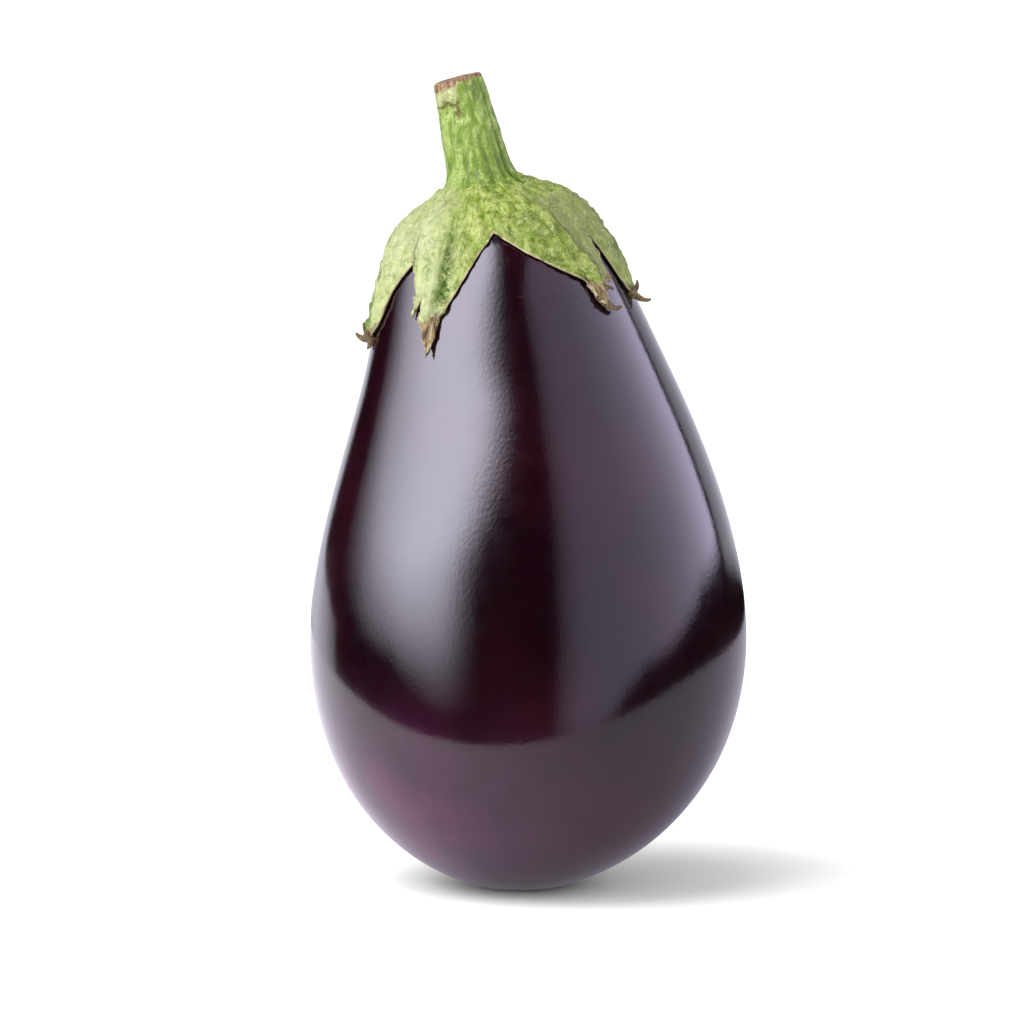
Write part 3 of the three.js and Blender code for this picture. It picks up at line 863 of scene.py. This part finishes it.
def glow_panel(name, edge, glow_colour, lean=0.0):
    """A glowing strip round the eggplant, seen only in reflections. Each of its uprights has an
    azimuth, the elevations in degrees where it starts, is bright and ends, and a brightness.
    lean moves the tops of the uprights in front to the right."""
    away, middle, rows = 1.0, 0.08, 20
    verts, faces, glow = [], [], []
    for azimuth, low, full, high, bright in edge:
        for row in range(rows):
            elevation = low + (high - low) * row / (rows - 1)
            shift = lean * smooth(elevation, 12, 44) * smooth(azimuth, -90, -45)
            a = math.radians(azimuth + shift)
            rise = away * math.tan(math.radians(elevation))
            verts.append((away * math.sin(a), -away * math.cos(a), middle + rise))
            glow.append(bright * min(1, (elevation - low) / (full - low)) ** 1.35)
    for i in range(len(edge) - 1):
        for row in range(rows - 1):
            first, second = i * rows + row, (i + 1) * rows + row
            faces.append((first, second, second + 1, first + 1))
    mesh = bpy.data.meshes.new(name)
    mesh.from_pydata(verts, [], faces)
    panel = bpy.data.objects.new(name, mesh)
    bpy.context.scene.collection.objects.link(panel)
    mark(panel, "glow", glow)
    material, add = new_material(name)
    strength = add("Attribute", {}, "Fac", attribute_name="glow")
    shader = add("Emission", {"Color": linear(glow_colour), "Strength": strength})
    add("OutputMaterial", {0: shader})
    mesh.materials.append(material)
    for ray in ("camera", "diffuse", "transmission", "volume_scatter", "shadow"):
        setattr(panel, "visible_" + ray, False)


def paper_floor(name, radius, middle, first, second, glow):
    """A round sheet of paper. Its tone goes from the first colour to the second, from left to right
    on the one that glows and in faint clouds on the other. On the one that glows, the glow and the fall
    from left to right are painted light."""
    paper, add = new_material("White paper, " + name)
    place = add("TexCoord", {}, "Object")
    if glow:
        blend = add("MapRange", {0: add("SeparateXYZ", {0: place}), 1: -0.12, 2: 0.06}, **EASED)
    else:
        blend = add("TexNoise", {"Vector": place, "Scale": 1 / 0.02})
    tone = add("Mix", {0: blend, 6: first, 7: second}, 2, **COLOURS)
    shader = add("BsdfPrincipled", {
        "Base Color": tone, "Roughness": 0.9, "Specular IOR Level": 0.1,
        "Emission Color": tone, "Emission Strength": glow,
    })
    add("OutputMaterial", {0: shader})
    bpy.ops.object.select_all(action="DESELECT")
    bpy.ops.mesh.primitive_circle_add(vertices=96, radius=radius, fill_type="NGON", location=middle)
    floor = bpy.context.object
    floor.name = name
    bpy.ops.object.transform_apply(location=True, rotation=True, scale=True)
    floor.data.materials.append(paper)
    return floor


class EGGPLANT_OT_stage(bpy.types.Operator):
    """Make the stage: camera, white floor, soft light and the softboxes that the skin reflects"""

    bl_idname = "eggplant.stage"
    bl_label = "Stage"

    def execute(self, context):
        studio = context.scene.eggplant_studio
        camera = bpy.data.objects.new("camera", bpy.data.cameras.new("camera"))
        context.scene.collection.objects.link(camera)
        camera.data.lens = studio.lens
        camera.location = (-0.0018, -studio.distance, studio.camera_height)
        aim = Vector((-0.0018, 0, 0.0857))
        camera.rotation_euler = (aim - camera.location).to_track_quat("-Z", "Y").to_euler()
        camera.data.clip_end = 50
        context.scene.camera = camera
        context.scene.view_settings.view_transform = "Standard"

        # The far floor is what the camera sees, and the near one what the skin reflects.
        grey, dim, off_white = (linear(code) for code in ("#bcb8c2", "#8a8592", "#f2f2f0"))
        # Painted light: the near floor glows, brighter on the left, for the lit floor that the skin
        # reflects.
        near = paper_floor("floor_near", 0.312, (0.05, 0.206, 0), grey, dim, 0.45)
        far = paper_floor("floor_far", 9, (0, 0, -0.0001), studio.floor, off_white, 0)
        near.visible_camera = near.visible_diffuse = near.visible_shadow = False
        far.visible_glossy = far.visible_shadow = False

        def lamp(name, kind, azimuth, elevation, **settings):
            light = bpy.data.lights.new(name, kind)
            for setting, value in settings.items():
                setattr(light, setting, value)
            made = bpy.data.objects.new(name, light)
            context.scene.collection.objects.link(made)
            a, e = math.radians(azimuth), math.radians(elevation)
            away = Vector((math.sin(a) * math.cos(e), -math.cos(a) * math.cos(e), math.sin(e))) * 1.2
            made.location = away + Vector((0, 0, 0.09))
            made.rotation_euler = (-away).to_track_quat("-Z", "Y").to_euler()
            made.visible_glossy = made.visible_camera = False
            return made

        lamp("key", "AREA", -55, 54, energy=studio.key, size=1.0)
        lit = bpy.data.collections.new("lit by the suns")
        for floor in (near, far):
            lit.objects.link(floor)
        for azimuth, elevation, part in ((-70, 66, 0.9), (-82, 26, 1.5), (0, 26, 0.5), (85, 26, 1.0)):
            sun = lamp("sun", "SUN", azimuth, elevation, energy=studio.sun * part, angle=math.radians(55))
            sun.light_linking.receiver_collection = lit

        glow_panel("panel_left", [
            (-121, 3, 20, 34, 0.4), (-113, 1, 19, 36, 1.6), (-105, -1, 18, 40, 2.9),
            (-90, -6, 12, 46, 4.6), (-75, -10, 12, 52, 6.9), (-66, -16, 14, 54, 7.8),
            (-58, -20, 17, 56, 8.2), (-50, -24, 20, 56, 7.9), (-44, -25, 21, 56, 6.4),
            (-39, -26, 22, 56, 4.0), (-34, -26, 22, 56, 1.6), (-27, -26, 22, 56, 0),
        ], "#efecff", lean=28)
        glow_panel("panel_right", [
            (13, -46, -20, 36, 0), (19, -46, -28, 40, 0.5), (27, -46, -29, 44, 0.85),
            (34, -44, -27, 48, 0.95), (42, -38, -24, 50, 1.0), (52, -22, -13, 50, 1.05),
            (62, -13, -7, 50, 1.15), (75, -9, -4, 50, 1.35), (90, -3, 1, 46, 1.7),
            (105, 2, 5, 42, 2.2), (120, 2, 5, 36, 2.6), (130, 2, 5, 32, 2.6),
        ], "#eadfff")
        glow_panel("panel_rim", [
            (200, -18, -12, -2, 0.8), (212, -18, -12, -2, 1.2), (228, -18, -12, -2, 1.2),
            (240, -18, -12, -4, 0.5),
        ], "#f2f0ff")
        glow_panel("panel_back", [
            (135, -1, 1, 40, 0.55), (150, -4, -2, 40, 0.65), (180, -10, -8, 40, 1.0),
            (204, -10, -8, 40, 0.9), (210, -10, -8, 40, 0.4),
        ], "#f2f0ff")

        world = bpy.data.worlds.new("white room")
        context.scene.world = world
        world.use_nodes = True
        world.node_tree.nodes.clear()
        add = partial(add_node, world.node_tree)
        white = (1, 1, 1, 1)
        glossy = add("LightPath", {}, "Is Glossy Ray")
        soft = add("Background", {"Color": white, "Strength": studio.ambient})
        dark = add("Background", {"Color": white, "Strength": 0.0})
        bright = add("Background", {"Color": white, "Strength": 1.1})
        room = add("MixShader", {0: glossy, 1: soft, 2: dark})
        seen = add("MixShader", {0: glossy.node.outputs["Is Camera Ray"], 1: room, 2: bright})
        add("OutputWorld", {0: seen})
        return {"FINISHED"}


class EGGPLANT_PT_panel(bpy.types.Panel):
    """Lists the pieces of the eggplant"""

    bl_label = "Eggplant"
    bl_space_type = "VIEW_3D"
    bl_region_type = "UI"
    bl_category = "Eggplant"

    def draw(self, context):
        for operator, group, _ in PARTS:
            self.layout.operator(operator.bl_idname)
            settings = getattr(context.scene, group)
            for name in settings.__annotations__:
                self.layout.prop(settings, name)


PARTS = [
    (EGGPLANT_OT_stage, "eggplant_studio", StudioSettings),
    (EGGPLANT_OT_fruit, "eggplant_fruit", FruitSettings),
    (EGGPLANT_OT_calyx, "eggplant_calyx", CalyxSettings),
    (EGGPLANT_OT_stem, "eggplant_stem", StemSettings),
]
OPERATORS, GROUPS, SETTINGS = zip(*PARTS)
CLASSES = [*SETTINGS, *OPERATORS, EGGPLANT_PT_panel]


def register():
    for made in CLASSES:
        bpy.utils.register_class(made)
    for name, settings in zip(GROUPS, SETTINGS):
        setattr(bpy.types.Scene, name, PointerProperty(type=settings))


def unregister():
    for name in GROUPS:
        delattr(bpy.types.Scene, name)
    for made in reversed(CLASSES):
        bpy.utils.unregister_class(made)


def main():
    register()
    bpy.ops.eggplant.stage()
    bpy.ops.eggplant.fruit()
    bpy.ops.eggplant.calyx()
    bpy.ops.eggplant.stem()


if __name__ == "__main__":
    main()
